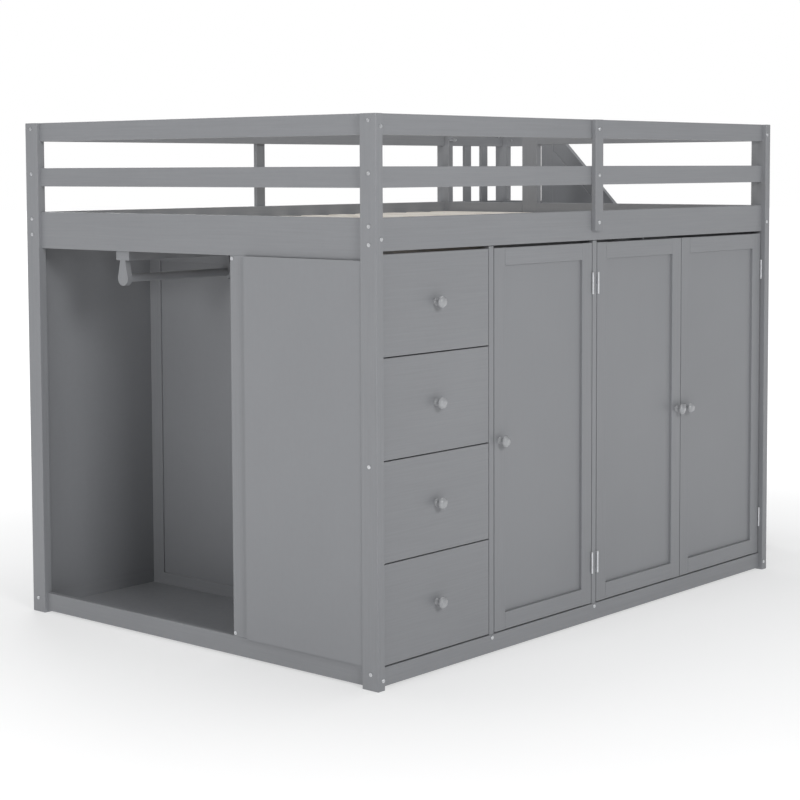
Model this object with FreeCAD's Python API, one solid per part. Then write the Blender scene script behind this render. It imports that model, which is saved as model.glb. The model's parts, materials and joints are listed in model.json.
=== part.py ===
"""Loft bed with drawers, cupboards, an open wardrobe, a desk and a staircase.

Sizes are millimetres. The model is laid out from one corner of the bed: X runs along the
bed from the open wardrobe end to the stairs, Y runs from the side with the drawers and
doors to the side with the desk, and Z is up from the floor. It is moved on export so that
the origin is the middle of the footprint.
"""
import FreeCAD
import Part

import math
import os

Vector = FreeCAD.Vector

# Bed frame
LENGTH = 2013.0
WIDTH = 1448.0
HEIGHT = 1522.0
POST_X = 28.0
POST_Y = 57.0
RAIL_HIGH = 56.0
TOP_RAIL_Z = HEIGHT - RAIL_HIGH
MIDDLE_RAIL_Z = 1328.0
LONG_SETBACK = 15.0
LONG_THICK = 22.0
END_SETBACK = 12.0
END_THICK = POST_X - END_SETBACK
BOARD_TOP = 1250.0
LONG_BOARD_Z = 1162.0
END_BOARD_Z = 1138.0
BASE_Z = 5.0
BASE_TOP = BASE_Z + RAIL_HIGH
FRONT_BASE_TOP = 56.0
GUARD_POST_WIDE = 40.0
GUARD_POST_Z = 1190.0

# Rounding of sawn edges
EDGE_ROUND = 1.5
POST_ROUND = 2.0
DESK_ROUND = 3.0

# Sleeping deck
DECK_TOP = 1214.0
SLAT_THICK = 20.0
SLAT_WIDE = 75.0
SLAT_COUNT = 14
SLAT_END_GAP = 10.0
LEDGER = 30.0
BEAM_WIDE = 38.0
BEAM_YS = (724.0, 1044.0)

# Storage bank under the deck
FACE_Y = 17.0
FRONT_THICK = 20.0
PANEL_THICK = 18.0
THIN_PANEL = 12.0
STORE_BACK_Y = 496.0
PARTITION_THICK = 21.0
PARTITION_XS = (494.0, 996.5)
PARTITION_TOP = 1160.0
FRONT_Z = 59.0
FRONT_TOP = 1154.0
FRONT_GAP = 3.0
END_PANEL_SETBACK = 3.0
STILE_WIDE = 55.0
STILE_GAP = 7.0
SHELF_HEIGHTS = (418.0, 772.0)
SHELF_Y = 60.0

# Drawers
DRAWER_COUNT = 4
DRAWER_X0 = 30.5
DRAWER_X1 = 491.5
DRAWER_PITCH = (FRONT_TOP - FRONT_Z + FRONT_GAP) / DRAWER_COUNT
DRAWER_BOX_X0 = 40.0
DRAWER_BOX_X1 = 485.0
DRAWER_BOX_LIFT = 30.0
DRAWER_BOX_HIGH = 200.0
DRAWER_DEPTH = 440.0
DRAWER_WALL = 12.0
DRAWER_BOTTOM_LIFT = 8.0
DRAWER_BOTTOM_THICK = 6.0
GROOVE_DEEP = 6.0
GROOVE_HIGH = 13.0
GROOVE_LIFT = 90.0
RUNNER_PLAY = 0.5

# Doors: left edge, right edge, and which edge carries the hinges
DOORS = (
    (518.0, 993.5, "right"),
    (1020.5, 1486.5, "left"),
    (1489.5, 1982.0, "right"),
)
DOOR_MEMBER = 50.0
DOOR_PANEL_RECESS = 8.0
DOOR_PANEL_THICK = 6.0
PANEL_TONGUE = 8.0
DOOR_KNOB_EDGE = 24.0
DOOR_KNOB_Z = 607.0

# Butt hinges
HINGE_LONG = 65.0
HINGE_ZS = (150.0, 1000.0)
HINGE_GAP = 3.0
BARREL_R = 3.2
BARREL_PROUD = 3.6
AXIS_BEHIND_EDGE = 0.5
LEAF_THICK = 1.2
LEAF_WIDE = 16.0
KNUCKLE_GAP = 0.4
PIN_R = 1.5
PIN_PLAY = 0.3

# Knobs: the outline is given as radius and distance from the front's face
KNOB_R = 16.5
KNOB_LONG = 33.0
KNOB_FOOT = (10.5, 3.0)
KNOB_FOOT_BEND = (8.6, 7.0)
KNOB_NECK = (7.5, 12.0)
KNOB_NECK_BEND = (10.0, 18.5)
KNOB_RIM_Y = 22.0
KNOB_RIM_WIDE = 2.0
KNOB_CROWN_BEND = (11.5, 30.5)
KNOB_TIP_R = 3.0
KNOB_SCREW_R = 2.0
KNOB_SCREW_HEAD_R = 4.5
KNOB_SCREW_HEAD = 2.5
KNOB_SCREW_IN = 14.0

# Wardrobe
WALL_X = 468.0
WALL_THICK = 18.0
WALL_STILE = 50.0
WALL_BOTTOM_TOP = 54.0
WALL_TOP_RAIL = 57.0
WALL_PANEL_THICK = 6.0
FLOOR_Z = 4.0
FLOOR_THICK = 12.0
CLOTHES_ROD_R = 12.5
CLOTHES_ROD_Y = 1032.0
CLOTHES_ROD_Z = 1057.0
BATTEN_WIDE = 57.0
BATTEN_Z = 1110.0
BRACKET_THICK = 18.0
BRACKET_R = 22.5
BRACKET_NECK = 22.0
ROD_SOCKET = 12.0

# Desk
DESK_TOP = 750.0
DESK_THICK = 22.0
DESK_DEEP = 480.0
DESK_OUTER_Y = 1430.0
DESK_RAIL = 57.0
DESK_RAIL_THICK = 20.0
DESK_RAIL_INSET = 22.0

# Stairs
STAIR_WIDE = 368.0
STEP_COUNT = 4
RISE = 203.0
RUN = 200.0
NOSING = 10.0
TREAD_THICK = 18.0
RISER_THICK = 15.0
GATE_POST_Y = 966.0
LANDING_Y = 1034.0
STAIR_MID_POST_Y = 1162.0
HANDRAIL_HEAD_Y = 1153.0
HANDRAIL_WIDE = 57.0
HANDRAIL_THICK = 20.0
HANDRAIL_INSET = 4.0
NEWEL_TOP = 700.0
STAIR_SLAT_WIDE = 40.0
STAIR_SLAT_THICK = 12.0
STAIR_SLAT_PITCH = 104.0

# Fasteners
BOLT_R = 3.0
BOLT_HEAD_R = 5.5
BOLT_HEAD = 1.8
SOCKET_R = 2.4
SOCKET_DEEP = 1.2
NUT_R = 5.0
NUT_PAST_POST = 25.0
BOLT_PAST_NUT = 8.0
WOOD_LEFT = 4.0
SCREW_LONG = 32.0
BOLT_RAISE = 10.0
BOLT_LOWER = 6.0
POST_SCREW_Z = 597.0
BOARD_BOLT_FROM_TOP = 22.0
BOARD_BOLT_FROM_BOTTOM = 18.0
GUARD_POST_SCREW_LIFT = 25.0
STILE_SCREW_EDGE = 8.0
STILE_SCREW_END = 8.0
HEAD_CHAMFER = 0.6

STAIR_X = LENGTH + STAIR_WIDE
STAIR_INNER_X = STAIR_X - POST_X
RISER_FRONT_Y = LANDING_Y - STEP_COUNT * RUN
BACK_LONG_Y = WIDTH - LONG_SETBACK - LONG_THICK
INNER_LONG_Y = LONG_SETBACK + LONG_THICK
ORIGIN = Vector(
    STAIR_X / 2,
    (WIDTH + BOLT_HEAD + FACE_Y - KNOB_LONG) / 2,
    0,
)


# ---------------------------------------------------------------- shape helpers

def box(x0, x1, y0, y1, z0, z1):
    """A board between two corners."""
    return Part.makeBox(x1 - x0, y1 - y0, z1 - z0, Vector(x0, y0, z0))


def ease(solid, along, radius=EDGE_ROUND):
    """The solid with its straight edges along one direction rounded."""
    edges = [edge for edge in solid.Edges
             if abs(edge.tangentAt(edge.FirstParameter).dot(along)) > 0.999]
    return solid.makeFillet(radius, edges)


def board(x0, x1, y0, y1, z0, z1, radius=EDGE_ROUND):
    """A board whose four long edges are rounded."""
    lengths = (x1 - x0, y1 - y0, z1 - z0)
    longest = lengths.index(max(lengths))
    along = (Vector(1, 0, 0), Vector(0, 1, 0), Vector(0, 0, 1))[longest]
    return ease(box(x0, x1, y0, y1, z0, z1), along, radius)


def post(x0, x1, y0, y1, top):
    """A post that stands on the floor, with its upright and top edges rounded."""
    solid = box(x0, x1, y0, y1, 0, top)
    edges = [edge for edge in solid.Edges if edge.BoundBox.ZMax > top / 2]
    return solid.makeFillet(POST_ROUND, edges)


def across(solid):
    """The same board on the opposite long side of the bed."""
    return solid.mirror(Vector(0, WIDTH / 2, 0), Vector(0, 1, 0))


def opposite_end(solid):
    """The same board at the opposite end of the bed."""
    return solid.mirror(Vector(LENGTH / 2, 0, 0), Vector(1, 0, 0))


def plate_yz(points, x0, thick):
    """An upright plate of the given (Y, Z) outline, from x0 towards +X."""
    corners = [Vector(x0, y, z) for y, z in points]
    outline = Part.makePolygon(corners + corners[:1])
    return Part.Face(outline).extrude(Vector(thick, 0, 0))


def cut_all(solid, tools):
    """The solid with every tool that reaches it taken away."""
    for tool in tools:
        if solid.BoundBox.intersect(tool.BoundBox):
            solid = solid.cut(tool)
    return solid


# ---------------------------------------------------------------- bed frame

def front_posts():
    left = post(0, POST_X, 0, POST_Y, HEIGHT)
    return [left, opposite_end(left)]


def back_posts():
    return [across(front_post) for front_post in front_posts()]


def gate_post():
    """The full-height post beside the way from the stairs onto the deck."""
    return [post(LENGTH - POST_X, LENGTH, GATE_POST_Y, LANDING_Y, HEIGHT)]


def long_board(z0, z1):
    """A board along the front, between the corner posts."""
    return board(POST_X, LENGTH - POST_X, LONG_SETBACK, INNER_LONG_Y, z0, z1)


def left_end_board(z0, z1):
    return board(END_SETBACK, POST_X, POST_Y, WIDTH - POST_Y, z0, z1)


def right_end_boards(z0, z1, past_gate):
    """Boards along the stair end: front post to gate post, and across the gate if asked."""
    x0 = LENGTH - POST_X
    x1 = LENGTH - END_SETBACK
    boards = [board(x0, x1, POST_Y, GATE_POST_Y, z0, z1)]
    if past_gate:
        boards.append(board(x0, x1, LANDING_Y, WIDTH - POST_Y, z0, z1))
    return boards


def long_guard_rails():
    front = [long_board(z, z + RAIL_HIGH) for z in (TOP_RAIL_Z, MIDDLE_RAIL_Z)]
    return front + [across(rail) for rail in front]


def end_guard_rails():
    rails = []
    for z in (TOP_RAIL_Z, MIDDLE_RAIL_Z):
        rails.append(left_end_board(z, z + RAIL_HIGH))
        rails += right_end_boards(z, z + RAIL_HIGH, past_gate=False)
    return rails


def guard_middle_posts():
    """The short upright on the outside of each long guard."""
    x0 = (LENGTH - GUARD_POST_WIDE) / 2
    front = board(x0, x0 + GUARD_POST_WIDE, 0, LONG_SETBACK, GUARD_POST_Z, HEIGHT)
    return [front, across(front)]


def side_boards():
    """The deep boards around the sleeping deck."""
    front = long_board(LONG_BOARD_Z, BOARD_TOP)
    left = left_end_board(END_BOARD_Z, BOARD_TOP)
    return [front, across(front), left] + right_end_boards(END_BOARD_Z, BOARD_TOP, True)


def base_rails():
    """The rails at the floor; the desk side has one only behind the wardrobe."""
    front = long_board(BASE_Z, FRONT_BASE_TOP)
    left = left_end_board(BASE_Z, BASE_TOP)
    back = board(POST_X, WALL_X + WALL_THICK, BACK_LONG_Y, WIDTH - LONG_SETBACK,
                 BASE_Z, BASE_TOP)
    return [front, left, back] + right_end_boards(BASE_Z, BASE_TOP, True)


# ---------------------------------------------------------------- sleeping deck

def mattress_slats():
    clear = LENGTH - 2 * POST_X - 2 * SLAT_END_GAP
    pitch = (clear - SLAT_WIDE) / (SLAT_COUNT - 1)
    slats = []
    for index in range(SLAT_COUNT):
        x0 = POST_X + SLAT_END_GAP + index * pitch
        slats.append(board(x0, x0 + SLAT_WIDE, INNER_LONG_Y, BACK_LONG_Y,
                           DECK_TOP - SLAT_THICK, DECK_TOP))
    return slats


def slat_supports():
    """A ledger on each side board and two beams under the slats."""
    top = DECK_TOP - SLAT_THICK
    ledger = board(POST_X, LENGTH - POST_X, INNER_LONG_Y, INNER_LONG_Y + LEDGER,
                   top - LEDGER, top)
    supports = [ledger, across(ledger)]
    for y in BEAM_YS:
        supports.append(board(POST_X, LENGTH - POST_X, y - BEAM_WIDE / 2, y + BEAM_WIDE / 2,
                              END_BOARD_Z, top))
    return supports


# ---------------------------------------------------------------- storage bank

def end_panels():
    """The closed panels in the two ends of the bed."""
    x0 = END_PANEL_SETBACK
    left = box(x0, x0 + PANEL_THICK, POST_Y, STORE_BACK_Y, BASE_TOP, END_BOARD_Z)
    inner = STORE_BACK_Y + STILE_GAP + STILE_WIDE
    beside_desk = box(x0, x0 + PANEL_THICK, inner, GATE_POST_Y, BASE_TOP, END_BOARD_Z)
    return [left, opposite_end(left), opposite_end(beside_desk)]


def end_stiles():
    """The upright beside each end panel."""
    y0 = STORE_BACK_Y + STILE_GAP
    left = board(END_SETBACK, POST_X, y0, y0 + STILE_WIDE, BASE_TOP, END_BOARD_Z)
    return [left, opposite_end(left)]


def storage_partitions():
    return [board(x, x + PARTITION_THICK, FACE_Y, STORE_BACK_Y,
                  FRONT_BASE_TOP, PARTITION_TOP)
            for x in PARTITION_XS]


def storage_inner_ends():
    """Inner faces of the two end panels, which bound the storage bank."""
    left = END_PANEL_SETBACK + PANEL_THICK
    return left, LENGTH - left


def storage_back_panel():
    return [box(POST_X, LENGTH - POST_X, STORE_BACK_Y, STORE_BACK_Y + THIN_PANEL,
                BASE_Z, PARTITION_TOP)]


def storage_floor():
    return [box(POST_X, LENGTH - POST_X, INNER_LONG_Y, STORE_BACK_Y,
                FRONT_BASE_TOP - PANEL_THICK, FRONT_BASE_TOP)]


def cabinet_bays():
    """X range of the single cupboard and of the double cupboard."""
    right_wall = storage_inner_ends()[1]
    single = (PARTITION_XS[0] + PARTITION_THICK, PARTITION_XS[1])
    double = (PARTITION_XS[1] + PARTITION_THICK, right_wall)
    return single, double


def cabinet_shelves():
    shelves = []
    for x0, x1 in cabinet_bays():
        for z in SHELF_HEIGHTS:
            shelves.append(board(x0, x1, SHELF_Y, STORE_BACK_Y, z - PANEL_THICK, z))
    return shelves


# ---------------------------------------------------------------- knobs

def knob(x, z, thick_behind):
    """A turned knob on a front's face, and the screw that holds it from behind."""
    root = Vector(0, 0, 0)
    foot_edge = Vector(KNOB_FOOT[0], 0, 0)
    foot = Vector(*KNOB_FOOT, 0)
    neck = Vector(*KNOB_NECK, 0)
    rim_back = Vector(KNOB_R, KNOB_RIM_Y, 0)
    rim_front = Vector(KNOB_R, KNOB_RIM_Y + KNOB_RIM_WIDE, 0)
    tip_edge = Vector(KNOB_TIP_R, KNOB_LONG, 0)
    tip = Vector(0, KNOB_LONG, 0)
    half = [
        Part.LineSegment(root, foot_edge),
        Part.LineSegment(foot_edge, foot),
        Part.Arc(foot, Vector(*KNOB_FOOT_BEND, 0), neck),
        Part.Arc(neck, Vector(*KNOB_NECK_BEND, 0), rim_back),
        Part.LineSegment(rim_back, rim_front),
        Part.Arc(rim_front, Vector(*KNOB_CROWN_BEND, 0), tip_edge),
        Part.LineSegment(tip_edge, tip),
        Part.LineSegment(tip, root),
    ]
    profile = Part.Face(Part.Wire([curve.toShape() for curve in half]))
    turned = profile.revolve(root, Vector(0, 1, 0), 360)
    turned.rotate(Vector(0, 0, 0), Vector(1, 0, 0), 180)
    turned.translate(Vector(x, FACE_Y, z))
    back_y = FACE_Y + thick_behind
    inward = Vector(0, -1, 0)
    stem = Part.makeCylinder(KNOB_SCREW_R, thick_behind + KNOB_SCREW_IN,
                             Vector(x, back_y, z), inward)
    head = Part.makeCylinder(KNOB_SCREW_HEAD_R, KNOB_SCREW_HEAD,
                             Vector(x, back_y + KNOB_SCREW_HEAD, z), inward)
    screw = stem.fuse(head).removeSplitter()
    return turned.cut(screw), screw


# ---------------------------------------------------------------- drawers

def drawer_z(index):
    """Bottom of a drawer's front, counted from the top drawer."""
    return FRONT_Z + (DRAWER_COUNT - 1 - index) * DRAWER_PITCH


def drawer_front(index):
    """A flat front whose visible edges are rounded."""
    z0 = drawer_z(index)
    front = box(DRAWER_X0, DRAWER_X1, FACE_Y, FACE_Y + FRONT_THICK,
                z0, z0 + DRAWER_PITCH - FRONT_GAP)
    edges = [edge for edge in front.Edges if edge.BoundBox.YMax < FACE_Y + EDGE_ROUND]
    return front.makeFillet(EDGE_ROUND, edges)


def drawer_box(index):
    """Two grooved sides, an inner front, a back and a bottom."""
    y0 = FACE_Y + FRONT_THICK
    y1 = y0 + DRAWER_DEPTH
    z0 = drawer_z(index) + DRAWER_BOX_LIFT
    z1 = z0 + DRAWER_BOX_HIGH
    x0, x1 = DRAWER_BOX_X0, DRAWER_BOX_X1
    groove_y = y0 + DRAWER_WALL
    groove_z = z0 + GROOVE_LIFT
    groove_top = groove_z + GROOVE_HIGH
    left = board(x0, x0 + DRAWER_WALL, y0, y1, z0, z1)
    left = left.cut(box(x0, x0 + GROOVE_DEEP, groove_y, y1, groove_z, groove_top))
    right = board(x1 - DRAWER_WALL, x1, y0, y1, z0, z1)
    right = right.cut(box(x1 - GROOVE_DEEP, x1, groove_y, y1, groove_z, groove_top))
    inner_x0, inner_x1 = x0 + DRAWER_WALL, x1 - DRAWER_WALL
    front = board(inner_x0, inner_x1, y0, y0 + DRAWER_WALL, z0, z1)
    back = board(inner_x0, inner_x1, y1 - DRAWER_WALL, y1, z0, z1)
    bottom_z = z0 + DRAWER_BOTTOM_LIFT
    bottom = box(inner_x0, inner_x1, y0 + DRAWER_WALL, y1 - DRAWER_WALL,
                 bottom_z, bottom_z + DRAWER_BOTTOM_THICK)
    return [left, right, front, back, bottom]


def drawer_parts(index):
    """Front, box and knob of one drawer."""
    front = drawer_front(index)
    middle_x = (DRAWER_X0 + DRAWER_X1) / 2
    middle_z = drawer_z(index) + (DRAWER_PITCH - FRONT_GAP) / 2
    turned, screw = knob(middle_x, middle_z, FRONT_THICK + DRAWER_WALL)
    pieces = [piece.cut(screw) if piece.BoundBox.intersect(screw.BoundBox) else piece
              for piece in drawer_box(index)]
    return [front.cut(screw)], pieces, [turned, screw]


def drawer_runners():
    """A wooden runner on each wall of the drawer bay, in the grooves of the drawer sides."""
    left_wall = storage_inner_ends()[0]
    right_wall = PARTITION_XS[0]
    reach = GROOVE_DEEP - RUNNER_PLAY
    runners = []
    for index in range(DRAWER_COUNT):
        z0 = drawer_z(index) + DRAWER_BOX_LIFT + GROOVE_LIFT + RUNNER_PLAY
        z1 = z0 + GROOVE_HIGH - 2 * RUNNER_PLAY
        runners.append(box(left_wall, DRAWER_BOX_X0 + reach, SHELF_Y, STORE_BACK_Y, z0, z1))
        runners.append(box(DRAWER_BOX_X1 - reach, right_wall, SHELF_Y, STORE_BACK_Y, z0, z1))
    return runners


# ---------------------------------------------------------------- doors

def door_panel(x0, x1):
    """The thin panel, with its edges reaching into the grooves of the frame."""
    edge = DOOR_MEMBER - PANEL_TONGUE
    y0 = FACE_Y + DOOR_PANEL_RECESS
    return box(x0 + edge, x1 - edge, y0, y0 + DOOR_PANEL_THICK, FRONT_Z + edge, FRONT_TOP - edge)


def door_frame(x0, x1, panel):
    """Two stiles and two rails, grooved for the panel."""
    y0, y1 = FACE_Y, FACE_Y + FRONT_THICK
    rail_x0, rail_x1 = x0 + DOOR_MEMBER, x1 - DOOR_MEMBER
    members = [
        board(x0, rail_x0, y0, y1, FRONT_Z, FRONT_TOP),
        board(rail_x1, x1, y0, y1, FRONT_Z, FRONT_TOP),
        board(rail_x0, rail_x1, y0, y1, FRONT_Z, FRONT_Z + DOOR_MEMBER),
        board(rail_x0, rail_x1, y0, y1, FRONT_TOP - DOOR_MEMBER, FRONT_TOP),
    ]
    return [member.cut(panel) for member in members]


def hinge_axis(x0, x1, side):
    """X and Y of the pin of a door's hinges."""
    x = x1 - AXIS_BEHIND_EDGE if side == "right" else x0 + AXIS_BEHIND_EDGE
    return x, FACE_Y - BARREL_PROUD


def knuckle_spans(z0):
    """Heights of the three knuckles of one hinge, lowest first."""
    high = (HINGE_LONG - 2 * KNUCKLE_GAP) / 3
    return [(z0 + i * (high + KNUCKLE_GAP), z0 + i * (high + KNUCKLE_GAP) + high) for i in range(3)]


def hinge_half(door, z0, on_door):
    """One leaf in the gap beside the door, with its knuckles: the middle one on the door."""
    axis_x, axis_y = hinge_axis(*door)
    outward = 1 if door[2] == "right" else -1
    leaf_start = AXIS_BEHIND_EDGE if on_door else AXIS_BEHIND_EDGE + HINGE_GAP - LEAF_THICK
    edges = sorted(axis_x + outward * reach for reach in (leaf_start, leaf_start + LEAF_THICK))
    leaf_y = axis_y + BARREL_R + KNUCKLE_GAP
    half = box(*edges, leaf_y, leaf_y + LEAF_WIDE, z0, z0 + HINGE_LONG)
    spans = knuckle_spans(z0)
    for low, high in spans[1:2] if on_door else spans[0::2]:
        knuckle = Part.makeCylinder(BARREL_R, high - low, Vector(axis_x, axis_y, low))
        tab = box(*edges, axis_y, leaf_y, low, high)
        half = half.fuse([knuckle, tab])
    bore_r = PIN_R + PIN_PLAY if on_door else PIN_R
    bore = Part.makeCylinder(bore_r, HINGE_LONG, Vector(axis_x, axis_y, z0))
    return half.removeSplitter().cut(bore)


def door_hinge_leaves(door):
    """The leaves that turn with the door."""
    return [hinge_half(door, z, on_door=True) for z in HINGE_ZS]


def hinge_fixed_leaves():
    """The leaves on the partition and on the post."""
    return [hinge_half(door, z, on_door=False) for door in DOORS for z in HINGE_ZS]


def hinge_pins():
    pins = []
    for door in DOORS:
        axis_x, axis_y = hinge_axis(*door)
        pins += [Part.makeCylinder(PIN_R, HINGE_LONG, Vector(axis_x, axis_y, z)) for z in HINGE_ZS]
    return pins


def door_parts(x0, x1, side):
    """Frame, panel, knob and hinge leaves of one door."""
    panel = door_panel(x0, x1)
    knob_x = x0 + DOOR_KNOB_EDGE if side == "right" else x1 - DOOR_KNOB_EDGE
    turned, screw = knob(knob_x, DOOR_KNOB_Z, FRONT_THICK)
    frame = [member.cut(screw) if member.BoundBox.intersect(screw.BoundBox) else member
             for member in door_frame(x0, x1, panel)]
    return frame, [panel], [turned, screw], door_hinge_leaves((x0, x1, side))


# ---------------------------------------------------------------- wardrobe

def wardrobe_wall_panel():
    y0 = STORE_BACK_Y + THIN_PANEL + WALL_STILE - PANEL_TONGUE
    y1 = BACK_LONG_Y - WALL_STILE + PANEL_TONGUE
    x0 = WALL_X + (WALL_THICK - WALL_PANEL_THICK) / 2
    return [box(x0, x0 + WALL_PANEL_THICK, y0, y1,
                WALL_BOTTOM_TOP - PANEL_TONGUE, END_BOARD_Z - WALL_TOP_RAIL + PANEL_TONGUE)]


def wardrobe_wall_frame():
    """The frame of the wall between the wardrobe and the desk space."""
    y0, y1 = STORE_BACK_Y + THIN_PANEL, BACK_LONG_Y
    x0, x1 = WALL_X, WALL_X + WALL_THICK
    rail_y0, rail_y1 = y0 + WALL_STILE, y1 - WALL_STILE
    members = [
        board(x0, x1, y0, rail_y0, BASE_Z, END_BOARD_Z),
        board(x0, x1, rail_y1, y1, BASE_Z, END_BOARD_Z),
        board(x0, x1, rail_y0, rail_y1, BASE_Z, WALL_BOTTOM_TOP),
        board(x0, x1, rail_y0, rail_y1, END_BOARD_Z - WALL_TOP_RAIL, END_BOARD_Z),
    ]
    panel = wardrobe_wall_panel()[0]
    return [member.cut(panel) for member in members]


def wardrobe_back_panel():
    return [box(POST_X, WALL_X + WALL_THICK, BACK_LONG_Y, BACK_LONG_Y + PANEL_THICK,
                BASE_TOP, LONG_BOARD_Z)]


def wardrobe_floor():
    return [box(POST_X, WALL_X, STORE_BACK_Y + THIN_PANEL, BACK_LONG_Y,
                FLOOR_Z, FLOOR_Z + FLOOR_THICK)]


def clothes_rail():
    start = POST_X + BRACKET_THICK - ROD_SOCKET
    end = WALL_X - BRACKET_THICK + ROD_SOCKET
    return [Part.makeCylinder(CLOTHES_ROD_R, end - start,
                              Vector(start, CLOTHES_ROD_Y, CLOTHES_ROD_Z), Vector(1, 0, 0))]


def clothes_rail_bracket(x0):
    """A tear-shaped hanger: a round eye under a tapering neck."""
    middle = Vector(x0, CLOTHES_ROD_Y, CLOTHES_ROD_Z)
    eye = Part.makeCylinder(BRACKET_R, BRACKET_THICK, middle, Vector(1, 0, 0))
    neck = plate_yz([
        (CLOTHES_ROD_Y - BRACKET_R, CLOTHES_ROD_Z),
        (CLOTHES_ROD_Y + BRACKET_R, CLOTHES_ROD_Z),
        (CLOTHES_ROD_Y + BRACKET_NECK / 2, BATTEN_Z),
        (CLOTHES_ROD_Y - BRACKET_NECK / 2, BATTEN_Z),
    ], x0, BRACKET_THICK)
    return eye.fuse(neck).removeSplitter()


def clothes_rail_brackets():
    rod = clothes_rail()[0]
    return [clothes_rail_bracket(x).cut(rod) for x in (POST_X, WALL_X - BRACKET_THICK)]


def clothes_rail_batten():
    """The batten under the deck beam that the clothes rail hangs from."""
    return [board(POST_X, WALL_X, CLOTHES_ROD_Y - BATTEN_WIDE / 2,
                  CLOTHES_ROD_Y + BATTEN_WIDE / 2, BATTEN_Z, END_BOARD_Z)]


# ---------------------------------------------------------------- desk

def desk_top():
    return [board(WALL_X + WALL_THICK, LENGTH - POST_X, DESK_OUTER_Y - DESK_DEEP, DESK_OUTER_Y,
                  DESK_TOP - DESK_THICK, DESK_TOP, DESK_ROUND)]


def desk_rails():
    """Two long rails and two end rails under the desk top."""
    x0, x1 = WALL_X + WALL_THICK, LENGTH - POST_X
    y0, y1 = DESK_OUTER_Y - DESK_DEEP + DESK_RAIL_INSET, DESK_OUTER_Y - DESK_RAIL_INSET
    top = DESK_TOP - DESK_THICK
    bottom = top - DESK_RAIL
    thick = DESK_RAIL_THICK
    return [
        board(x0, x1, y0, y0 + thick, bottom, top),
        board(x0, x1, y1 - thick, y1, bottom, top),
        board(x0, x0 + thick, y0 + thick, y1 - thick, bottom, top),
        board(x1 - thick, x1, y0 + thick, y1 - thick, bottom, top),
    ]


# ---------------------------------------------------------------- stairs

def step_front(index):
    """Face of a riser; step 0 is the lowest, and the landing follows the last step."""
    return RISER_FRONT_Y + index * RUN


def step_top(index):
    return (index + 1) * RISE


def stair_treads():
    """Four treads and the landing, each resting on the inner panel."""
    treads = []
    for index in range(STEP_COUNT + 1):
        top = step_top(index)
        landing = index == STEP_COUNT
        y1 = BACK_LONG_Y if landing else step_front(index + 1)
        tread = box(LENGTH, STAIR_INNER_X, step_front(index) - NOSING, y1,
                    top - TREAD_THICK, top)
        treads.append(ease(tread, Vector(1, 0, 0)))
    return treads


def stair_risers():
    risers = []
    for index in range(STEP_COUNT + 1):
        y0 = step_front(index)
        z0 = step_top(index - 1) - TREAD_THICK if index else BASE_Z
        risers.append(box(LENGTH + PANEL_THICK, STAIR_INNER_X, y0, y0 + RISER_THICK,
                          z0, step_top(index) - TREAD_THICK))
    return risers


def stair_inner_panel():
    """The stepped panel against the end of the bed."""
    points = [(RISER_FRONT_Y, BASE_Z)]
    for index in range(STEP_COUNT + 1):
        z = step_top(index) - TREAD_THICK
        points += [(step_front(index), z)]
        after = BACK_LONG_Y if index == STEP_COUNT else step_front(index + 1)
        points += [(after, z)]
    points.append((BACK_LONG_Y, BASE_Z))
    return plate_yz(points, LENGTH, PANEL_THICK)


def handrail_top(y):
    """Height of the handrail's top edge: level at its head, then falling at 45 degrees."""
    return min(HEIGHT, HEIGHT - (HANDRAIL_HEAD_Y - y))


def stair_outer_panels():
    """The closed outer side: under the handrail, and under the landing's guard."""
    x0 = STAIR_INNER_X
    drop = HANDRAIL_WIDE * math.sqrt(2)
    y0 = RISER_FRONT_Y + POST_Y
    y1 = STAIR_MID_POST_Y
    head = HANDRAIL_HEAD_Y
    sloped = plate_yz([(y0, BASE_Z), (y1, BASE_Z), (y1, handrail_top(y1) - drop),
                       (head, handrail_top(head) - drop), (y0, handrail_top(y0) - drop)],
                      x0, PANEL_THICK)
    landing = box(x0, x0 + PANEL_THICK, y1 + POST_Y, WIDTH - POST_Y, BASE_Z, END_BOARD_Z)
    return [sloped, landing]


def stair_panels():
    """Inner panel, the two outer panels, and the panel at the back of the landing."""
    back = box(LENGTH, STAIR_INNER_X, BACK_LONG_Y, BACK_LONG_Y + PANEL_THICK,
               BASE_Z, LONG_BOARD_Z)
    return [stair_inner_panel()] + stair_outer_panels() + [back]


def stair_posts():
    """Corner post, middle post and newel on the outer side of the stairs."""
    x0, x1 = STAIR_INNER_X, STAIR_X
    middle_y = STAIR_MID_POST_Y
    return [
        post(x0, x1, WIDTH - POST_Y, WIDTH, HEIGHT),
        post(x0, x1, middle_y, middle_y + POST_Y, HEIGHT),
        post(x0, x1, RISER_FRONT_Y, RISER_FRONT_Y + POST_Y, NEWEL_TOP),
    ]


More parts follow.
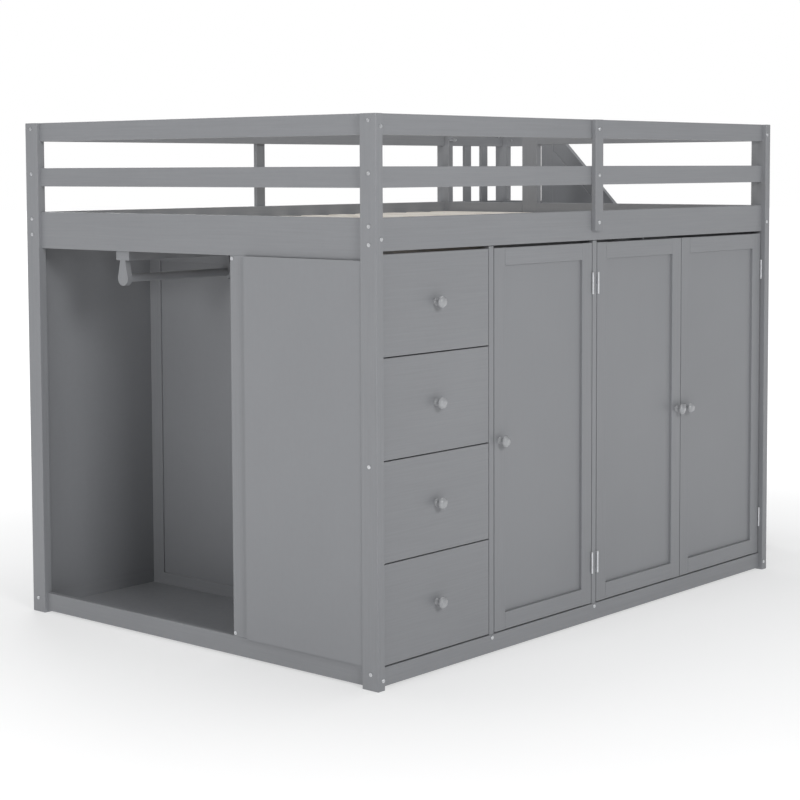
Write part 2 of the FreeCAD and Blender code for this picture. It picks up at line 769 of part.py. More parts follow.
def stair_guard_rails():
    """The guard around the landing, with upright slats on the long side."""
    rail_x0, rail_x1 = LENGTH, STAIR_INNER_X
    y0, y1 = BACK_LONG_Y, BACK_LONG_Y + LONG_THICK
    rails = [
        board(rail_x0, rail_x1, y0, y1, TOP_RAIL_Z, HEIGHT),
        board(rail_x0, rail_x1, y0, y1, LONG_BOARD_Z, BOARD_TOP),
    ]
    middle_x = (rail_x0 + rail_x1) / 2
    for side in (-1, 1):
        x0 = middle_x + side * STAIR_SLAT_PITCH / 2 - STAIR_SLAT_WIDE / 2
        rails.append(board(x0, x0 + STAIR_SLAT_WIDE, y0, y0 + STAIR_SLAT_THICK,
                           BOARD_TOP, TOP_RAIL_Z))
    end_x1 = STAIR_X - END_SETBACK
    end_x0 = end_x1 - END_THICK
    end_y0, end_y1 = STAIR_MID_POST_Y + POST_Y, WIDTH - POST_Y
    for z0, z1 in ((TOP_RAIL_Z, HEIGHT), (MIDDLE_RAIL_Z, MIDDLE_RAIL_Z + RAIL_HIGH),
                   (END_BOARD_Z, BOARD_TOP)):
        rails.append(board(end_x0, end_x1, end_y0, end_y1, z0, z1))
    return rails


def stair_handrail():
    y0, y1 = RISER_FRONT_Y + POST_Y, STAIR_MID_POST_Y
    drop = HANDRAIL_WIDE * math.sqrt(2)
    x0 = STAIR_X - HANDRAIL_INSET - HANDRAIL_THICK
    head = HANDRAIL_HEAD_Y
    rail = plate_yz([(y0, handrail_top(y0) - drop), (head, handrail_top(head) - drop),
                     (y1, handrail_top(y1) - drop), (y1, handrail_top(y1)),
                     (head, handrail_top(head)), (y0, handrail_top(y0))], x0, HANDRAIL_THICK)
    return [ease(rail, Vector(0, 1, 1).normalize())]


# ---------------------------------------------------------------- fasteners

def bolted(point, direction, length, nut_axis=None, nut_long=0):
    """One fastener: where its head sits, which way it runs, and its barrel nut if any."""
    return {
        "point": Vector(*point),
        "direction": direction,
        "length": length,
        "nut_axis": nut_axis,
        "nut_long": nut_long,
    }


def long_rail_joints():
    """Bolts through the end faces of the corner posts into the long rails."""
    joints = []
    reach = POST_X + NUT_PAST_POST + BOLT_PAST_NUT
    nut_long = LONG_THICK - WOOD_LEFT
    front_y = LONG_SETBACK + LONG_THICK / 2
    back_y = WIDTH - front_y
    rail_lift = RAIL_HIGH / 2 + BOLT_RAISE
    heights = (
        TOP_RAIL_Z + rail_lift,
        MIDDLE_RAIL_Z + rail_lift,
        BOARD_TOP - BOARD_BOLT_FROM_TOP,
        LONG_BOARD_Z + BOARD_BOLT_FROM_BOTTOM,
        BASE_Z + rail_lift,
    )
    right = Vector(1, 0, 0)
    left = Vector(-1, 0, 0)
    to_back = Vector(0, 1, 0)
    to_front = Vector(0, -1, 0)
    for z in heights:
        joints.append(bolted((0, front_y, z), right, reach, to_back, nut_long))
        joints.append(bolted((LENGTH, front_y, z), left, reach, to_back, nut_long))
        joints.append(bolted((0, back_y, z), right, reach, to_front, nut_long))
    for z in (heights[0], heights[2]):
        joints.append(bolted((STAIR_X, back_y, z), left, reach, to_front, nut_long))
    return joints


def end_rail_joints():
    """Bolts through the long faces of the posts into the end rails."""
    joints = []
    reach = POST_Y + NUT_PAST_POST + BOLT_PAST_NUT
    nut_long = END_THICK - WOOD_LEFT
    inset = (END_SETBACK + POST_X) / 2
    rail_lift = RAIL_HIGH / 2 - BOLT_LOWER
    heights = (
        TOP_RAIL_Z + rail_lift,
        (END_BOARD_Z + BOARD_TOP) / 2,
        BASE_Z + rail_lift,
    )
    to_back = Vector(0, 1, 0)
    to_front = Vector(0, -1, 0)
    for z in heights:
        for x, inward in ((inset, Vector(1, 0, 0)), (LENGTH - inset, Vector(-1, 0, 0))):
            joints.append(bolted((x, 0, z), to_back, reach, inward, nut_long))
            joints.append(bolted((x, WIDTH, z), to_front, reach, inward, nut_long))
    for z in heights[:2]:
        joints.append(bolted((STAIR_X - inset, WIDTH, z), to_front, reach,
                             Vector(-1, 0, 0), nut_long))
    return joints


def plain_screws():
    """Screws with no nut: guard middle posts, base rail, end stiles and corner posts."""
    screws = []
    middle_x = LENGTH / 2
    to_back = Vector(0, 1, 0)
    to_front = Vector(0, -1, 0)
    guard_heights = (
        TOP_RAIL_Z + RAIL_HIGH / 2,
        MIDDLE_RAIL_Z + RAIL_HIGH / 2,
        GUARD_POST_Z + GUARD_POST_SCREW_LIFT,
    )
    for z in guard_heights:
        screws.append(bolted((middle_x, 0, z), to_back, SCREW_LONG))
        screws.append(bolted((middle_x, WIDTH, z), to_front, SCREW_LONG))
    floor_edge_z = FRONT_BASE_TOP - PANEL_THICK / 2
    for x in PARTITION_XS:
        point = (x + PARTITION_THICK / 2, LONG_SETBACK, floor_edge_z)
        screws.append(bolted(point, to_back, SCREW_LONG + LONG_THICK))
    for x, inward in ((0, Vector(1, 0, 0)), (LENGTH, Vector(-1, 0, 0))):
        screws.append(bolted((x, POST_Y / 2, POST_SCREW_Z), inward, POST_X - WOOD_LEFT))
    stile_y = STORE_BACK_Y + STILE_GAP + STILE_WIDE - STILE_SCREW_EDGE
    for z in (END_BOARD_Z - STILE_SCREW_END, BASE_TOP + STILE_SCREW_END):
        screws.append(bolted((END_SETBACK, stile_y, z), Vector(1, 0, 0), END_THICK - WOOD_LEFT))
    return screws


def fasteners():
    return long_rail_joints() + end_rail_joints() + plain_screws()


def shank(fastener):
    return Part.makeCylinder(BOLT_R, fastener["length"], fastener["point"], fastener["direction"])


def nut(fastener):
    """A barrel nut whose end is flush with the inner face of its rail."""
    along = fastener["direction"]
    post_depth = POST_X if abs(along.x) > 0.5 else POST_Y
    axis = fastener["nut_axis"]
    half_thick = (LONG_THICK if abs(along.x) > 0.5 else END_THICK) / 2
    middle = fastener["point"] + along * (post_depth + NUT_PAST_POST)
    face = middle + axis * half_thick
    return Part.makeCylinder(NUT_R, fastener["nut_long"], face, axis * -1)


def bolt(fastener):
    """A shank under a flat round head with a six-sided socket."""
    point, along = fastener["point"], fastener["direction"]
    head = Part.makeCylinder(BOLT_HEAD_R, BOLT_HEAD, point, along * -1)
    top = point - along * BOLT_HEAD
    rim = [edge for edge in head.Edges if abs((edge.CenterOfMass - top).dot(along)) < 0.01]
    head = head.makeChamfer(HEAD_CHAMFER, rim)
    up = Vector(0, 0, 1)
    sideways = along.cross(up)
    corners = []
    for step in range(6):
        angle = math.radians(60 * step)
        spoke = up * math.cos(angle) + sideways * math.sin(angle)
        corners.append(top + spoke * SOCKET_R)
    socket = Part.Face(Part.makePolygon(corners + corners[:1])).extrude(along * SOCKET_DEEP)
    return head.cut(socket).fuse(shank(fastener)).removeSplitter()


def frame_bolts():
    return [bolt(fastener) for fastener in fasteners()]


def barrel_nuts():
    return [nut(f).cut(shank(f)) for f in fasteners() if f["nut_axis"]]


def drill_tools():
    """Everything that has to be drilled out of the wood."""
    every = fasteners()
    return [shank(f) for f in every] + [nut(f) for f in every if f["nut_axis"]]


# ---------------------------------------------------------------- assembly

def wooden_nodes():
    """Fixed wooden nodes, which the bolts and nuts are drilled through."""
    return {
        "front_posts": front_posts(),
        "back_posts": back_posts(),
        "gate_post": gate_post(),
        "long_guard_rails": long_guard_rails(),
        "end_guard_rails": end_guard_rails(),
        "guard_middle_posts": guard_middle_posts(),
        "side_boards": side_boards(),
        "base_rails": base_rails(),
        "mattress_slats": mattress_slats(),
        "slat_supports": slat_supports(),
        "end_panels": end_panels(),
        "end_stiles": end_stiles(),
        "storage_partitions": storage_partitions(),
        "storage_back_panel": storage_back_panel(),
        "storage_floor": storage_floor(),
        "cabinet_shelves": cabinet_shelves(),
        "drawer_runners": drawer_runners(),
        "wardrobe_wall_frame": wardrobe_wall_frame(),
        "wardrobe_wall_panel": wardrobe_wall_panel(),
        "wardrobe_back_panel": wardrobe_back_panel(),
        "wardrobe_floor": wardrobe_floor(),
        "clothes_rail": clothes_rail(),
        "clothes_rail_brackets": clothes_rail_brackets(),
        "clothes_rail_batten": clothes_rail_batten(),
        "desk_top": desk_top(),
        "desk_rails": desk_rails(),
        "stair_panels": stair_panels(),
        "stair_treads": stair_treads(),
        "stair_risers": stair_risers(),
        "stair_posts": stair_posts(),
        "stair_guard_rails": stair_guard_rails(),
        "stair_handrail": stair_handrail(),
    }


def moving_nodes():
    nodes = {}
    for index in range(DRAWER_COUNT):
        name = f"drawer_{index + 1}"
        nodes[f"{name}_front"], nodes[f"{name}_box"], nodes[f"{name}_knob"] = drawer_parts(index)
    for number, (x0, x1, side) in enumerate(DOORS, start=1):
        frame, panel, knob_pieces, leaves = door_parts(x0, x1, side)
        nodes[f"door_{number}_frame"] = frame
        nodes[f"door_{number}_panel"] = panel
        nodes[f"door_{number}_knob"] = knob_pieces
        nodes[f"door_{number}_hinge_leaves"] = leaves
    return nodes


def all_nodes():
    tools = drill_tools()
    nodes = {name: [cut_all(solid, tools) for solid in solids]
             for name, solids in wooden_nodes().items()}
    nodes["hinge_fixed_leaves"] = hinge_fixed_leaves()
    nodes["hinge_pins"] = hinge_pins()
    nodes["frame_bolts"] = frame_bolts()
    nodes["barrel_nuts"] = barrel_nuts()
    nodes.update(moving_nodes())
    return nodes


def export(name, solids):
    """Write one node, moved so that the origin is the middle of the footprint."""
    shape = solids[0] if len(solids) == 1 else Part.makeCompound(solids)
    shape = shape.copy()
    shape.translate(ORIGIN * -1)
    shape.exportStep(f"parts/{name}.step")


def main():
    os.makedirs("parts", exist_ok=True)
    for name, solids in all_nodes().items():
        export(name, solids)


if __name__ == "__main__":
    main()
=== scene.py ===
"""Finishes, light, floor and camera for the loft bed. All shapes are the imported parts."""
import json
import math

import bpy
from mathutils import Matrix, Vector

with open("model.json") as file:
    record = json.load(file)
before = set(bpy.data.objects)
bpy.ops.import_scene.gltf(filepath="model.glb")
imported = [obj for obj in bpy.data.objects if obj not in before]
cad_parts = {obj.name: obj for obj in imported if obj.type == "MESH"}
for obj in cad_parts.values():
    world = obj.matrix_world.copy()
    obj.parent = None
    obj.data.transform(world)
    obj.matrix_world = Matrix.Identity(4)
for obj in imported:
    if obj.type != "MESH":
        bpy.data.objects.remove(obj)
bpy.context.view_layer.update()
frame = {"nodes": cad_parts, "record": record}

# Camera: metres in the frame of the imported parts, degrees, and millimetres for the lens and
# the sensor. The shift is a share of the picture's width.
CAMERA_PLACE = (-4.8145, -3.9439, 1.3763)
CAMERA_YAW = 40.96
CAMERA_PITCH = 3.994
CAMERA_ROLL = -0.23
CAMERA_LENS = 84.26
CAMERA_SENSOR = 36.0
CAMERA_SHIFT = -0.125
CAMERA_REACH = 200.0

# Colours, in linear light
GREY = (0.262, 0.268, 0.282)
GREY_LACQUER = (0.35, 0.357, 0.37)
PINE_LIGHT = (0.80, 0.765, 0.71)
PINE_DARK = (0.66, 0.60, 0.52)
PINE_KNOT = (0.20, 0.105, 0.045)
BIRCH_LIGHT = (0.68, 0.57, 0.43)
BIRCH_DARK = (0.52, 0.41, 0.28)
ZINC = (0.74, 0.75, 0.77)

# Stretch of the patterns, first along the board and then across it
PAINT_STREAKS = (1.6, 70.0, 70.0)
PAINT_FIBRES = (9.0, 420.0, 420.0)
WOOD_WANDER = (1.0, 5.0, 5.0)
WOOD_RINGS = (0.10, 1.0, 1.0)
WOOD_FIBRES = (6.0, 480.0, 480.0)
WOOD_KNOTS = (0.75, 1.6, 1.6)
ZINC_SCRATCHES = (900.0, 900.0, 60.0)

# Scale of the patterns
GRAIN_SCALE = 3.0
WANDER_SCALE = 1.4
KNOT_SCALE = 5.5
PAINT_CLOUD_SCALE = 2.3
PAINT_MOTTLE_SCALE = 55.0
PAINT_PORE_SCALE = 850.0
WOOD_PORE_SCALE = 900.0
ZINC_CLOUD_SCALE = 140.0

# How far the growth lines wander off the board's own lines, in metres
RING_WANDER = (0.0, 0.05, 0.05)

# Depth of the relief, in metres
PAINT_PORE_DEPTH = 0.00005
PAINT_STREAK_DEPTH = 0.00032
PAINT_FIBRE_DEPTH = 0.00010
WOOD_RING_DEPTH = 0.00008
WOOD_FIBRE_DEPTH = 0.00010
WOOD_PORE_DEPTH = 0.00004
ZINC_SCRATCH_DEPTH = 0.00002

# The part of its range in which a noise mostly lies
NOISE_LOW = 0.3
NOISE_HIGH = 0.7

# Each board's pattern is shifted by up to this much, in metres, and has a tone of its own
BOARD_SHIFT = 9.0
TONE_SEED = 7

# Floor: metres, from where to where it fades to white, and how white it is near the bed
FLOOR_RADIUS = 60.0
FLOOR_SIDES = 96
FLOOR_DROP = 0.0005
FLOOR_FADE = (1.2, 3.4)
FLOOR_COLOUR = (0.94, 0.945, 0.95)
FLOOR_GLOW = 1.15
FLOOR_NEAR = 0.42

# Even light from all round
WORLD_COLOUR = (0.98, 0.99, 1.0)
WORLD_STRENGTH = 0.21

# Square soft boxes: place, the point that it faces and side in metres, power in watts
SOFTBOXES = {
    "key_light": ((-3.1, -6.4, 3.5), (0.0, 0.0, 0.3), 1.6, 158.0),
    "left_light": ((-7.0, -0.6, 2.8), (-1.0, -0.1, 0.4), 1.4, 91.0),
    "back_light": ((3.6, 6.6, 3.4), (0.2, 0.3, 0.5), 3.0, 130.0),
    "top_light": ((0.4, 0.2, 6.0), (0.2, 0.1, 0.0), 4.0, 165.0),
}

# Boards made of panel, where less wood shows through the paint
PANEL_NODES = {
    "end_panels", "storage_back_panel", "storage_floor", "wardrobe_wall_panel",
    "wardrobe_back_panel", "wardrobe_floor", "stair_panels", "stair_risers",
    "door_1_panel", "door_2_panel", "door_3_panel", "storage_partitions",
    "cabinet_shelves", "desk_top",
}


# ---------------------------------------------------------------- board coordinates

def board_coordinates():
    """A modifier group that gives every board its own coordinates, along and across it.

    "board" holds the coordinates with X along the longest side, shifted by a random
    amount for each board, and "tone" a random number for each board.
    """
    tree = bpy.data.node_groups.new("board_coordinates", "GeometryNodeTree")
    tree.interface.new_socket("Geometry", in_out="INPUT", socket_type="NodeSocketGeometry")
    tree.interface.new_socket("Geometry", in_out="OUTPUT", socket_type="NodeSocketGeometry")
    new, link = tree.nodes.new, tree.links.new
    start = new("NodeGroupInput")
    end = new("NodeGroupOutput")
    island = new("GeometryNodeInputMeshIsland")
    place = new("GeometryNodeInputPosition")
    extent = new("GeometryNodeFieldMinAndMax")
    extent.data_type = "FLOAT_VECTOR"
    extent.domain = "POINT"
    link(place.outputs[0], extent.inputs["Value"])
    link(island.outputs["Island Index"], extent.inputs["Group ID"])
    size = new("ShaderNodeVectorMath")
    size.operation = "SUBTRACT"
    link(extent.outputs["Max"], size.inputs[0])
    link(extent.outputs["Min"], size.inputs[1])
    sides = new("ShaderNodeSeparateXYZ")
    link(size.outputs[0], sides.inputs[0])
    point = new("ShaderNodeSeparateXYZ")
    link(place.outputs[0], point.inputs[0])

    def longest(first, second, third):
        """1 where the first side is longer than the other two."""
        larger = new("ShaderNodeMath")
        larger.operation = "MAXIMUM"
        link(sides.outputs[second], larger.inputs[0])
        link(sides.outputs[third], larger.inputs[1])
        test = new("ShaderNodeMath")
        test.operation = "GREATER_THAN"
        link(sides.outputs[first], test.inputs[0])
        link(larger.outputs[0], test.inputs[1])
        return test.outputs[0]

    def turned(first, second, third):
        """The position with its axes in another order."""
        joined = new("ShaderNodeCombineXYZ")
        for slot, axis in enumerate((first, second, third)):
            link(point.outputs[axis], joined.inputs[slot])
        return joined.outputs[0]

    def pick(test, otherwise, chosen):
        """The chosen vector where the test is 1, and the other one elsewhere."""
        mix = new("ShaderNodeMix")
        mix.data_type = "VECTOR"
        link(test, mix.inputs["Factor"])
        vectors = [socket for socket in mix.inputs
                   if socket.type == "VECTOR" and socket.name in "AB"]
        link(otherwise, vectors[0])
        link(chosen, vectors[1])
        return [socket for socket in mix.outputs if socket.type == "VECTOR"][0]

    along = pick(longest("Y", "X", "Z"), turned("X", "Y", "Z"), turned("Y", "X", "Z"))
    along = pick(longest("Z", "X", "Y"), along, turned("Z", "X", "Y"))
    chance = new("FunctionNodeRandomValue")
    chance.data_type = "FLOAT_VECTOR"
    chance.inputs["Max"].default_value = (BOARD_SHIFT, BOARD_SHIFT, BOARD_SHIFT)
    link(island.outputs["Island Index"], chance.inputs["ID"])
    shifted = new("ShaderNodeVectorMath")
    link(along, shifted.inputs[0])
    link(chance.outputs["Value"], shifted.inputs[1])
    tone = new("FunctionNodeRandomValue")
    tone.data_type = "FLOAT"
    tone.inputs["Seed"].default_value = TONE_SEED
    link(island.outputs["Island Index"], tone.inputs["ID"])
    geometry = start.outputs[0]
    for name, kind, value in (("board", "FLOAT_VECTOR", shifted.outputs[0]),
                              ("tone", "FLOAT", tone.outputs[1])):
        store = new("GeometryNodeStoreNamedAttribute")
        store.data_type = kind
        store.domain = "POINT"
        store.inputs["Name"].default_value = name
        link(geometry, store.inputs["Geometry"])
        link(value, store.inputs["Value"])
        geometry = store.outputs["Geometry"]
    link(geometry, end.inputs[0])
    return tree


# ---------------------------------------------------------------- materials

class Finish:
    """A material under construction: one principled shader and what feeds it."""

    def __init__(self, name):
        self.material = bpy.data.materials.new(name)
        self.material.use_nodes = True
        self.tree = self.material.node_tree
        self.tree.nodes.clear()
        self.out = self.new("ShaderNodeOutputMaterial")
        self.shader = self.new("ShaderNodeBsdfPrincipled")
        self.link(self.shader.outputs[0], self.out.inputs["Surface"])
        self.normal = None

    def new(self, kind, **settings):
        node = self.tree.nodes.new(kind)
        for key, value in settings.items():
            setattr(node, key, value)
        return node

    def link(self, source, target):
        self.tree.links.new(source, target)

    def attribute(self, name, output):
        node = self.new("ShaderNodeAttribute", attribute_type="GEOMETRY", attribute_name=name)
        return node.outputs[output]

    def place(self):
        return self.new("ShaderNodeTexCoord").outputs["Object"]

    def stretched(self, vector, scale):
        node = self.new("ShaderNodeMapping")
        node.inputs["Scale"].default_value = scale
        self.link(vector, node.inputs["Vector"])
        return node.outputs[0]

    def noise(self, vector, scale, detail=3.0, roughness=0.5, distortion=0.0):
        node = self.new("ShaderNodeTexNoise")
        node.inputs["Scale"].default_value = scale
        node.inputs["Detail"].default_value = detail
        node.inputs["Roughness"].default_value = roughness
        node.inputs["Distortion"].default_value = distortion
        self.link(vector, node.inputs["Vector"])
        return node.outputs["Fac"]

    def fit(self, value, low, high, from_low=NOISE_LOW, from_high=NOISE_HIGH):
        """The value moved from one range to another, and held inside it."""
        node = self.new("ShaderNodeMapRange")
        node.inputs["From Min"].default_value = from_low
        node.inputs["From Max"].default_value = from_high
        node.inputs["To Min"].default_value = low
        node.inputs["To Max"].default_value = high
        self.link(value, node.inputs["Value"])
        return node.outputs[0]

    def product(self, first, second):
        node = self.new("ShaderNodeMath", operation="MULTIPLY")
        self.link(first, node.inputs[0])
        self.link(second, node.inputs[1])
        return node.outputs[0]

    def blend(self, factor, first, second):
        """A colour between two others, each of them a tuple or a socket."""
        node = self.new("ShaderNodeMix", data_type="RGBA")
        self.link(factor, node.inputs["Factor"])
        colours = [socket for socket in node.inputs if socket.type == "RGBA"]
        for socket, value in zip(colours, (first, second)):
            if isinstance(value, tuple):
                socket.default_value = (*value, 1.0)
            else:
                self.link(value, socket)
        return [socket for socket in node.outputs if socket.type == "RGBA"][0]

    def scaled(self, colour, value):
        """The colour made lighter or darker by a number that varies over the surface."""
        node = self.new("ShaderNodeVectorMath", operation="SCALE")
        if isinstance(colour, tuple):
            node.inputs[0].default_value = colour
        else:
            self.link(colour, node.inputs[0])
        self.link(value, node.inputs["Scale"])
        return node.outputs[0]

    def bump(self, height, distance, strength):
        """Relief on top of the relief that is there already."""
        node = self.new("ShaderNodeBump")
        node.inputs["Strength"].default_value = strength
        node.inputs["Distance"].default_value = distance
        self.link(height, node.inputs["Height"])
        if self.normal is not None:
            self.link(self.normal, node.inputs["Normal"])
        self.normal = node.outputs[0]
        self.link(self.normal, self.shader.inputs["Normal"])


def painted(name, colour, grain, roughness=0.42, coat=0.0):
    """Satin grey paint. grain says how much of the wood shows through it."""
    finish = Finish(name)
    board = finish.attribute("board", "Vector")
    place = finish.place()
    streaks = finish.noise(finish.stretched(board, PAINT_STREAKS), GRAIN_SCALE,
                           detail=5.0, roughness=0.62, distortion=0.15)
    fibres = finish.noise(finish.stretched(board, PAINT_FIBRES), GRAIN_SCALE,
                          detail=3.0, roughness=0.6)
    cloud = finish.noise(place, PAINT_CLOUD_SCALE)
    mottle = finish.noise(place, PAINT_MOTTLE_SCALE, detail=4.0, roughness=0.65)
    shade = finish.fit(cloud, low=0.975, high=1.025)
    shade = finish.product(shade, finish.fit(mottle, low=0.985, high=1.015))
    shade = finish.product(shade, finish.fit(streaks, low=1 - 0.045 * grain,
                                             high=1 + 0.03 * grain))
    tone = finish.attribute("tone", "Fac")
    shade = finish.product(shade, finish.fit(tone, low=0.982, high=1.018,
                                             from_low=0.0, from_high=1.0))
    finish.link(finish.scaled(colour, shade), finish.shader.inputs["Base Color"])
    sheen = finish.fit(mottle, low=roughness - 0.05, high=roughness + 0.06)
    finish.link(sheen, finish.shader.inputs["Roughness"])
    finish.shader.inputs["Specular IOR Level"].default_value = 0.42
    finish.shader.inputs["Coat Weight"].default_value = coat
    finish.shader.inputs["Coat Roughness"].default_value = 0.16
    pores = finish.noise(place, PAINT_PORE_SCALE, detail=2.0)
    finish.bump(pores, PAINT_PORE_DEPTH, strength=0.7)
    if grain:
        finish.bump(streaks, PAINT_STREAK_DEPTH * grain, strength=0.8)
        finish.bump(fibres, PAINT_FIBRE_DEPTH * grain, strength=0.8)
    return finish.material


def bare_wood(name, light, dark, ring_scale, knot_colour=None):
    """Bare or clear-finished wood with growth lines along the board, and knots if it has any."""
    finish = Finish(name)
    board = finish.attribute("board", "Vector")
    place = finish.place()
    wander = finish.new("ShaderNodeTexNoise")
    wander.inputs["Scale"].default_value = WANDER_SCALE
    wander.inputs["Detail"].default_value = 2.0
    finish.link(finish.stretched(board, WOOD_WANDER), wander.inputs["Vector"])
    bent = finish.new("ShaderNodeVectorMath", operation="MULTIPLY_ADD")
    finish.link(wander.outputs["Color"], bent.inputs[0])
    bent.inputs[1].default_value = RING_WANDER
    finish.link(board, bent.inputs[2])
    rings = finish.new("ShaderNodeTexWave", wave_type="BANDS", bands_direction="DIAGONAL",
                       wave_profile="SAW")
    rings.inputs["Scale"].default_value = ring_scale
    rings.inputs["Distortion"].default_value = 3.2
    rings.inputs["Detail"].default_value = 3.0
    rings.inputs["Detail Scale"].default_value = 1.1
    finish.link(finish.stretched(bent.outputs[0], WOOD_RINGS), rings.inputs["Vector"])
    fibres = finish.noise(finish.stretched(board, WOOD_FIBRES), GRAIN_SCALE,
                          detail=4.0, roughness=0.6)
    late = finish.fit(rings.outputs["Fac"], low=0.05, high=0.72, from_low=0.15, from_high=1.0)
    colour = finish.blend(late, light, dark)
    if knot_colour:
        cells = finish.new("ShaderNodeTexVoronoi", feature="F1")
        cells.inputs["Scale"].default_value = KNOT_SCALE
        finish.link(finish.stretched(board, WOOD_KNOTS), cells.inputs["Vector"])
        knot = finish.fit(cells.outputs["Distance"], low=1.0, high=0.0,
                          from_low=0.05, from_high=0.13)
        colour = finish.blend(knot, colour, knot_colour)
    shade = finish.fit(fibres, low=0.93, high=1.05)
    tone = finish.attribute("tone", "Fac")
    shade = finish.product(shade, finish.fit(tone, low=0.90, high=1.08,
                                             from_low=0.0, from_high=1.0))
    finish.link(finish.scaled(colour, shade), finish.shader.inputs["Base Color"])
    finish.link(finish.fit(fibres, low=0.50, high=0.66), finish.shader.inputs["Roughness"])
    finish.shader.inputs["Specular IOR Level"].default_value = 0.4
    finish.bump(rings.outputs["Fac"], WOOD_RING_DEPTH, strength=0.6)
    finish.bump(fibres, WOOD_FIBRE_DEPTH, strength=0.8)
    pores = finish.noise(place, WOOD_PORE_SCALE, detail=2.0)
    finish.bump(pores, WOOD_PORE_DEPTH, strength=0.5)
    return finish.material


def plated(name, colour):
    """Zinc-plated steel, slightly uneven."""
    finish = Finish(name)
    place = finish.place()
    cloud = finish.noise(place, ZINC_CLOUD_SCALE, detail=4.0, roughness=0.6)
    scratches = finish.noise(finish.stretched(place, ZINC_SCRATCHES), scale=1.0,
                             detail=3.0, roughness=0.6)
    finish.link(finish.scaled(colour, finish.fit(cloud, low=0.90, high=1.04)),
                finish.shader.inputs["Base Color"])
    finish.link(finish.fit(scratches, low=0.24, high=0.42), finish.shader.inputs["Roughness"])
    finish.shader.inputs["Metallic"].default_value = 1.0
    finish.bump(scratches, ZINC_SCRATCH_DEPTH, strength=0.5)
    return finish.material


boards = board_coordinates()
wood_paint = painted("grey_paint_on_wood", GREY, grain=1.0)
panel_paint = painted("grey_paint_on_board", GREY, grain=0.18)
finish_of_slot = {
    "knob_lacquer": painted("grey_lacquer", GREY_LACQUER, grain=0.0, roughness=0.26, coat=0.6),
    "pale_pine": bare_wood("pale_pine", PINE_LIGHT, PINE_DARK, ring_scale=18.0,
                           knot_colour=PINE_KNOT),
    "drawer_board": bare_wood("drawer_board", BIRCH_LIGHT, BIRCH_DARK, ring_scale=26.0),
    "bright_steel": plated("bright_steel", ZINC),
}

slot_of = {part["node"]: part["material_slot"] for part in frame["record"]["subparts"]}
for name, node in sorted(frame["nodes"].items()):
    modifier = node.modifiers.new("board_coordinates", "NODES")
    modifier.node_group = boards
    paint = panel_paint if name in PANEL_NODES else wood_paint
    for slot in node.material_slots:
        slot.material = finish_of_slot.get(slot_of[name], paint)


# ---------------------------------------------------------------- floor and light

def studio_floor():
    """A pale floor that fades to plain white away from the bed."""
    bpy.ops.mesh.primitive_circle_add(vertices=FLOOR_SIDES, radius=FLOOR_RADIUS,
                                      fill_type="NGON", location=(0, 0, -FLOOR_DROP))
    floor = bpy.context.object
    floor.name = "floor"
    finish = Finish("floor")
    finish.shader.inputs["Roughness"].default_value = 0.75
    finish.shader.inputs["Specular IOR Level"].default_value = 0.2
    place = finish.place()
    cloud = finish.noise(place, scale=1.2)
    finish.link(finish.scaled(FLOOR_COLOUR, finish.fit(cloud, low=0.985, high=1.01)),
                finish.shader.inputs["Base Color"])
    distance = finish.new("ShaderNodeVectorMath", operation="LENGTH")
    finish.link(place, distance.inputs[0])
    fade = finish.new("ShaderNodeMapRange", interpolation_type="SMOOTHSTEP")
    fade.inputs["From Min"].default_value = FLOOR_FADE[0]
    fade.inputs["From Max"].default_value = FLOOR_FADE[1]
    fade.inputs["To Min"].default_value = FLOOR_NEAR
    finish.link(distance.outputs["Value"], fade.inputs["Value"])
    white = finish.new("ShaderNodeEmission")
    white.inputs["Strength"].default_value = FLOOR_GLOW
    mix = finish.new("ShaderNodeMixShader")
    finish.link(fade.outputs[0], mix.inputs["Fac"])
    finish.link(finish.shader.outputs[0], mix.inputs[1])
    finish.link(white.outputs[0], mix.inputs[2])
    finish.link(mix.outputs[0], finish.out.inputs["Surface"])
    floor.data.materials.append(finish.material)


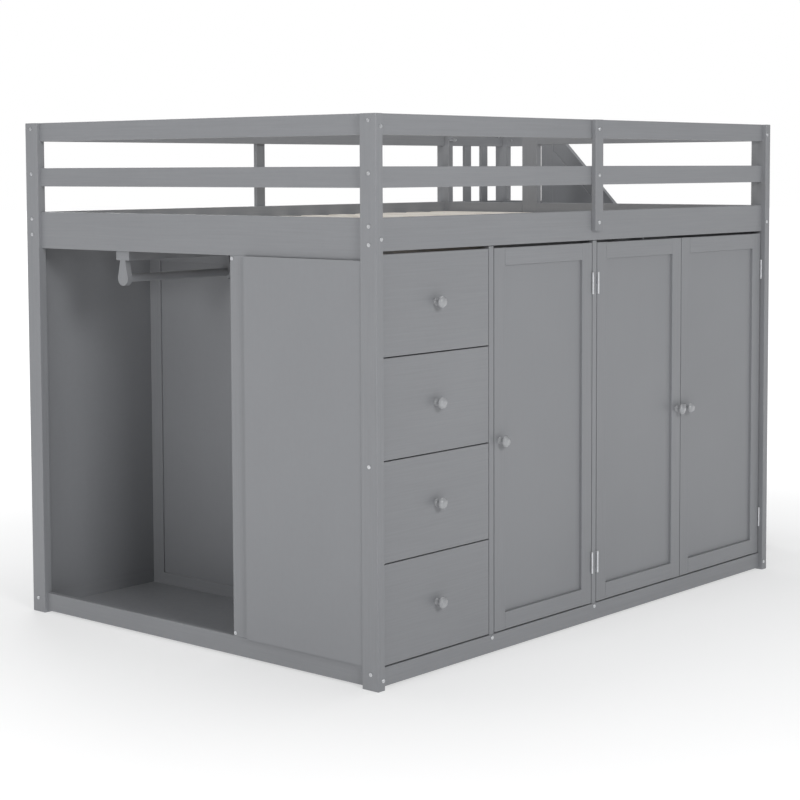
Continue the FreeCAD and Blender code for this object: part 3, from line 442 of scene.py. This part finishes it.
def studio_world():
    """White to the camera, and a weaker even light for everything else."""
    world = bpy.data.worlds.new("studio")
    bpy.context.scene.world = world
    world.use_nodes = True
    tree = world.node_tree
    tree.nodes.clear()
    out = tree.nodes.new("ShaderNodeOutputWorld")
    seen = tree.nodes.new("ShaderNodeBackground")
    seen.inputs["Color"].default_value = (1.0, 1.0, 1.0, 1.0)
    lighting = tree.nodes.new("ShaderNodeBackground")
    lighting.inputs["Color"].default_value = (*WORLD_COLOUR, 1.0)
    lighting.inputs["Strength"].default_value = WORLD_STRENGTH
    rays = tree.nodes.new("ShaderNodeLightPath")
    mix = tree.nodes.new("ShaderNodeMixShader")
    tree.links.new(rays.outputs["Is Camera Ray"], mix.inputs["Fac"])
    tree.links.new(lighting.outputs[0], mix.inputs[1])
    tree.links.new(seen.outputs[0], mix.inputs[2])
    tree.links.new(mix.outputs[0], out.inputs["Surface"])


def softbox(name, place, aim, side, power):
    """A square area light that faces a point."""
    light = bpy.data.lights.new(name, "AREA")
    light.shape = "RECTANGLE"
    light.size = side
    light.size_y = side
    light.energy = power
    lamp = bpy.data.objects.new(name, light)
    lamp.location = place
    direction = Vector(aim) - Vector(place)
    lamp.rotation_mode = "QUATERNION"
    lamp.rotation_quaternion = direction.to_track_quat("-Z", "Y")
    bpy.context.scene.collection.objects.link(lamp)


studio_floor()
studio_world()
for name, settings in SOFTBOXES.items():
    softbox(name, *settings)


# ---------------------------------------------------------------- camera

def studio_camera():
    """The photo's camera. It looks along the yaw, down by the pitch, and turns by the roll."""
    yaw = math.radians(CAMERA_YAW)
    pitch = math.radians(CAMERA_PITCH)
    forward = Vector((
        math.cos(pitch) * math.cos(yaw),
        math.cos(pitch) * math.sin(yaw),
        -math.sin(pitch),
    ))
    right = Vector((math.sin(yaw), -math.cos(yaw), 0.0))
    up = right.cross(forward)
    turn = Matrix((right, up, -forward)).transposed()
    turn = turn @ Matrix.Rotation(math.radians(CAMERA_ROLL), 3, "Z")
    data = bpy.data.cameras.new("camera")
    data.lens = CAMERA_LENS
    data.sensor_width = CAMERA_SENSOR
    data.shift_y = CAMERA_SHIFT
    data.clip_end = CAMERA_REACH
    camera = bpy.data.objects.new("camera", data)
    camera.rotation_mode = "QUATERNION"
    camera.rotation_quaternion = turn.to_quaternion()
    camera.location = CAMERA_PLACE
    bpy.context.scene.collection.objects.link(camera)
    bpy.context.scene.camera = camera


studio_camera()
bpy.context.scene.view_settings.view_transform = "Standard"
